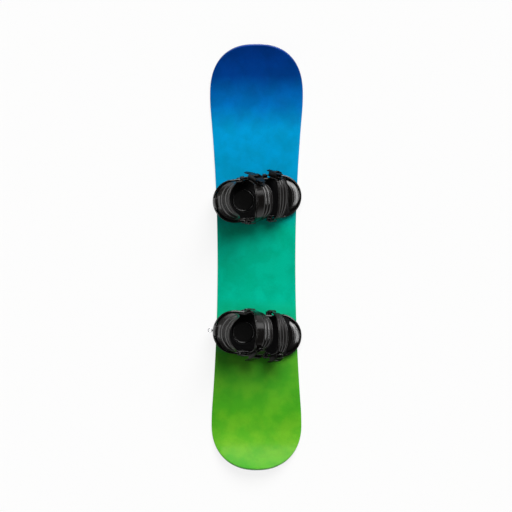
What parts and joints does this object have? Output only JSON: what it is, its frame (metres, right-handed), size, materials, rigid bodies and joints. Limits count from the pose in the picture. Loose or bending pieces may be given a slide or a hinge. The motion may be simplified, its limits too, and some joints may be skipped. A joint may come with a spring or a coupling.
{
  "type": "snowboard",
  "caption": "Snowboard with a blue, teal and green topsheet and a pair of black strap bindings with highbacks, ratchet buckles and ladders.",
  "frame": {"origin": "centre of the flat running base, on the surface that the board lies on", "axes": "+Z out of the topsheet, +Y along the board towards the nose, +X across it towards the toe edge"},
  "size_m": [0.3084, 1.3799, 0.2595],
  "materials": {
    "topsheet": "satin-gloss printed topsheet, blue through teal to green",
    "sidewall": "moulded ABS sidewall",
    "edge_steel": "ground steel edge",
    "base_plastic": "sintered polyethylene base, waxed",
    "core_wood": "laminated wood core, sealed inside",
    "gloss_nylon": "glossy black moulded nylon",
    "matte_nylon": "satin black glass-filled nylon",
    "soft_pad": "soft black moulded foam and rubber",
    "fastener_steel": "steel screws, bolts and ring"
  },
  "bodies": {
    "board": {"base_sheet": "base_plastic", "steel_edge": "edge_steel", "sidewall": "sidewall", "wood_core": "core_wood", "topsheet": "topsheet", "front_baseplate": "matte_nylon", "front_disc": "matte_nylon", "front_footbed": "soft_pad", "front_toe_ramp": "gloss_nylon", "front_heel_hoop": "gloss_nylon", "front_hoop_bolt_outer": "fastener_steel", "front_hoop_bolt_inner": "fastener_steel", "front_highback_bolt_outer": "fastener_steel", "front_highback_bolt_inner": "fastener_steel", "front_ankle_bolt_outer": "fastener_steel", "front_ankle_bolt_inner": "fastener_steel", "front_toe_bolt_outer": "fastener_steel", "front_toe_bolt_inner": "fastener_steel", "rear_baseplate": "matte_nylon", "rear_disc": "matte_nylon", "rear_footbed": "soft_pad", "rear_toe_ramp": "gloss_nylon", "rear_heel_hoop": "gloss_nylon", "rear_hoop_bolt_outer": "fastener_steel", "rear_hoop_bolt_inner": "fastener_steel", "rear_highback_bolt_outer": "fastener_steel", "rear_highback_bolt_inner": "fastener_steel", "rear_ankle_bolt_outer": "fastener_steel", "rear_ankle_bolt_inner": "fastener_steel", "rear_toe_bolt_outer": "fastener_steel", "rear_toe_bolt_inner": "fastener_steel"},
    "front_highback": {"front_highback": "gloss_nylon"},
    "front_lean_block": {"front_lean_block": "matte_nylon"},
    "front_ankle_loop": {"front_ankle_ladder": "matte_nylon", "front_ankle_strap_root": "matte_nylon"},
    "front_ankle_strap": {"front_ankle_pad": "soft_pad", "front_ankle_buckle": "gloss_nylon"},
    "front_ankle_lever": {"front_ankle_lever": "gloss_nylon"},
    "front_ankle_release": {"front_ankle_release": "gloss_nylon"},
    "front_toe_loop": {"front_toe_ladder": "matte_nylon", "front_toe_strap_root": "matte_nylon"},
    "front_toe_strap": {"front_toe_pad": "soft_pad", "front_toe_buckle": "gloss_nylon"},
    "front_toe_lever": {"front_toe_lever": "gloss_nylon"},
    "front_toe_release": {"front_toe_release": "gloss_nylon"},
    "rear_highback": {"rear_highback": "gloss_nylon"},
    "rear_lean_block": {"rear_lean_block": "matte_nylon"},
    "rear_ankle_loop": {"rear_ankle_ladder": "matte_nylon", "rear_ankle_strap_root": "matte_nylon"},
    "rear_ankle_strap": {"rear_ankle_pad": "soft_pad", "rear_ankle_buckle": "gloss_nylon"},
    "rear_ankle_lever": {"rear_ankle_lever": "gloss_nylon"},
    "rear_ankle_release": {"rear_ankle_release": "gloss_nylon"},
    "rear_toe_loop": {"rear_toe_ladder": "matte_nylon", "rear_toe_strap_root": "matte_nylon"},
    "rear_toe_strap": {"rear_toe_pad": "soft_pad", "rear_toe_buckle": "gloss_nylon"},
    "rear_toe_lever": {"rear_toe_lever": "gloss_nylon"},
    "rear_toe_release": {"rear_toe_release": "gloss_nylon"},
    "rear_leash_ring": {"rear_leash_ring": "fastener_steel"}
  },
  "joints": [
    {"name": "front_highback_fold", "type": "hinge", "parent": "board", "child": "front_highback", "pos_m": [-0.04917, 0.19161, 0.0715], "axis": [-0.1132, 0.9936, 0], "range_deg": [0, 38]},
    {"name": "front_lean_block_slide", "type": "slide", "parent": "front_highback", "child": "front_lean_block", "axis": [0.2364, 0.0269, 0.9713], "range_m": [0, 0.02]},
    {"name": "front_ankle_strap_swing", "type": "hinge", "parent": "board", "child": "front_ankle_loop", "pos_m": [-0.03923, 0.19274, 0.0375], "axis": [-0.1132, 0.9936, 0], "range_deg": [-4, 11]},
    {"name": "front_ankle_strap_open", "type": "hinge", "parent": "front_ankle_loop", "child": "front_ankle_strap", "pos_m": [-0.01532, 0.11938, 0.06321], "axis": [0.8517, 0.097, -0.515], "range_deg": [0, 100]},
    {"name": "front_ankle_lever_lift", "type": "hinge", "parent": "front_ankle_strap", "child": "front_ankle_lever", "pos_m": [-0.00373, 0.27003, 0.11077], "axis": [0.8517, 0.097, -0.515], "range_deg": [0, 95]},
    {"name": "front_ankle_release_lift", "type": "hinge", "parent": "front_ankle_strap", "child": "front_ankle_release", "pos_m": [0.00786, 0.2589, 0.12784], "axis": [-0.8517, -0.097, 0.515], "range_deg": [0, 30], "stiffness_Nm_per_rad": 0.05, "springref_deg": -17.19},
    {"name": "front_toe_strap_swing", "type": "hinge", "parent": "board", "child": "front_toe_loop", "pos_m": [0.03429, 0.20112, 0.0315], "axis": [-0.1132, 0.9936, 0], "range_deg": [-6, 6]},
    {"name": "front_toe_strap_open", "type": "hinge", "parent": "front_toe_loop", "child": "front_toe_strap", "pos_m": [0.05243, 0.1271, 0.04299], "axis": [0.7611, 0.0867, -0.6428], "range_deg": [0, 100]},
    {"name": "front_toe_lever_lift", "type": "hinge", "parent": "front_toe_strap", "child": "front_toe_lever", "pos_m": [0.05951, 0.28259, 0.07235], "axis": [0.7611, 0.0867, -0.6428], "range_deg": [0, 95]},
    {"name": "front_toe_release_lift", "type": "hinge", "parent": "front_toe_strap", "child": "front_toe_release", "pos_m": [0.06899, 0.27652, 0.08275], "axis": [-0.7611, -0.0867, 0.6428], "range_deg": [0, 30], "stiffness_Nm_per_rad": 0.05, "springref_deg": -17.19},
    {"name": "rear_highback_fold", "type": "hinge", "parent": "board", "child": "rear_highback", "pos_m": [-0.0493, -0.23497, 0.0715], "axis": [0.0872, 0.9962, 0], "range_deg": [0, 38]},
    {"name": "rear_lean_block_slide", "type": "slide", "parent": "rear_highback", "child": "rear_lean_block", "axis": [0.237, -0.0207, 0.9713], "range_m": [0, 0.02]},
    {"name": "rear_ankle_strap_swing", "type": "hinge", "parent": "board", "child": "rear_ankle_loop", "pos_m": [-0.03934, -0.23584, 0.0375], "axis": [0.0872, 0.9962, 0], "range_deg": [-4, 11]},
    {"name": "rear_ankle_strap_open", "type": "hinge", "parent": "rear_ankle_loop", "child": "rear_ankle_strap", "pos_m": [-0.01736, -0.16187, 0.06321], "axis": [-0.8539, 0.0747, 0.515], "range_deg": [0, 100]},
    {"name": "rear_ankle_lever_lift", "type": "hinge", "parent": "rear_ankle_strap", "child": "rear_ankle_lever", "pos_m": [-0.00183, -0.31217, 0.11077], "axis": [-0.8539, 0.0747, 0.515], "range_deg": [0, 95]},
    {"name": "rear_ankle_release_lift", "type": "hinge", "parent": "rear_ankle_strap", "child": "rear_ankle_release", "pos_m": [0.00947, -0.30074, 0.12784], "axis": [0.8539, -0.0747, -0.515], "range_deg": [0, 30], "stiffness_Nm_per_rad": 0.05, "springref_deg": -17.19},
    {"name": "rear_toe_strap_swing", "type": "hinge", "parent": "board", "child": "rear_toe_loop", "pos_m": [0.03438, -0.24229, 0.0315], "axis": [0.0872, 0.9962, 0], "range_deg": [-6, 6]},
    {"name": "rear_toe_strap_open", "type": "hinge", "parent": "rear_toe_loop", "child": "rear_toe_strap", "pos_m": [0.05057, -0.16782, 0.04299], "axis": [-0.7631, 0.0668, 0.6428], "range_deg": [0, 100]},
    {"name": "rear_toe_lever_lift", "type": "hinge", "parent": "rear_toe_strap", "child": "rear_toe_lever", "pos_m": [0.06171, -0.32307, 0.07235], "axis": [-0.7631, 0.0668, 0.6428], "range_deg": [0, 95]},
    {"name": "rear_toe_release_lift", "type": "hinge", "parent": "rear_toe_strap", "child": "rear_toe_release", "pos_m": [0.07104, -0.31675, 0.08275], "axis": [0.7631, -0.0668, -0.6428], "range_deg": [0, 30], "stiffness_Nm_per_rad": 0.05, "springref_deg": -17.19},
    {"name": "rear_leash_ring_swing", "type": "hinge", "parent": "board", "child": "rear_leash_ring", "pos_m": [-0.14332, -0.22875, 0.0415], "axis": [0.0872, 0.9962, 0], "range_deg": [-75, 60]}
  ]
}
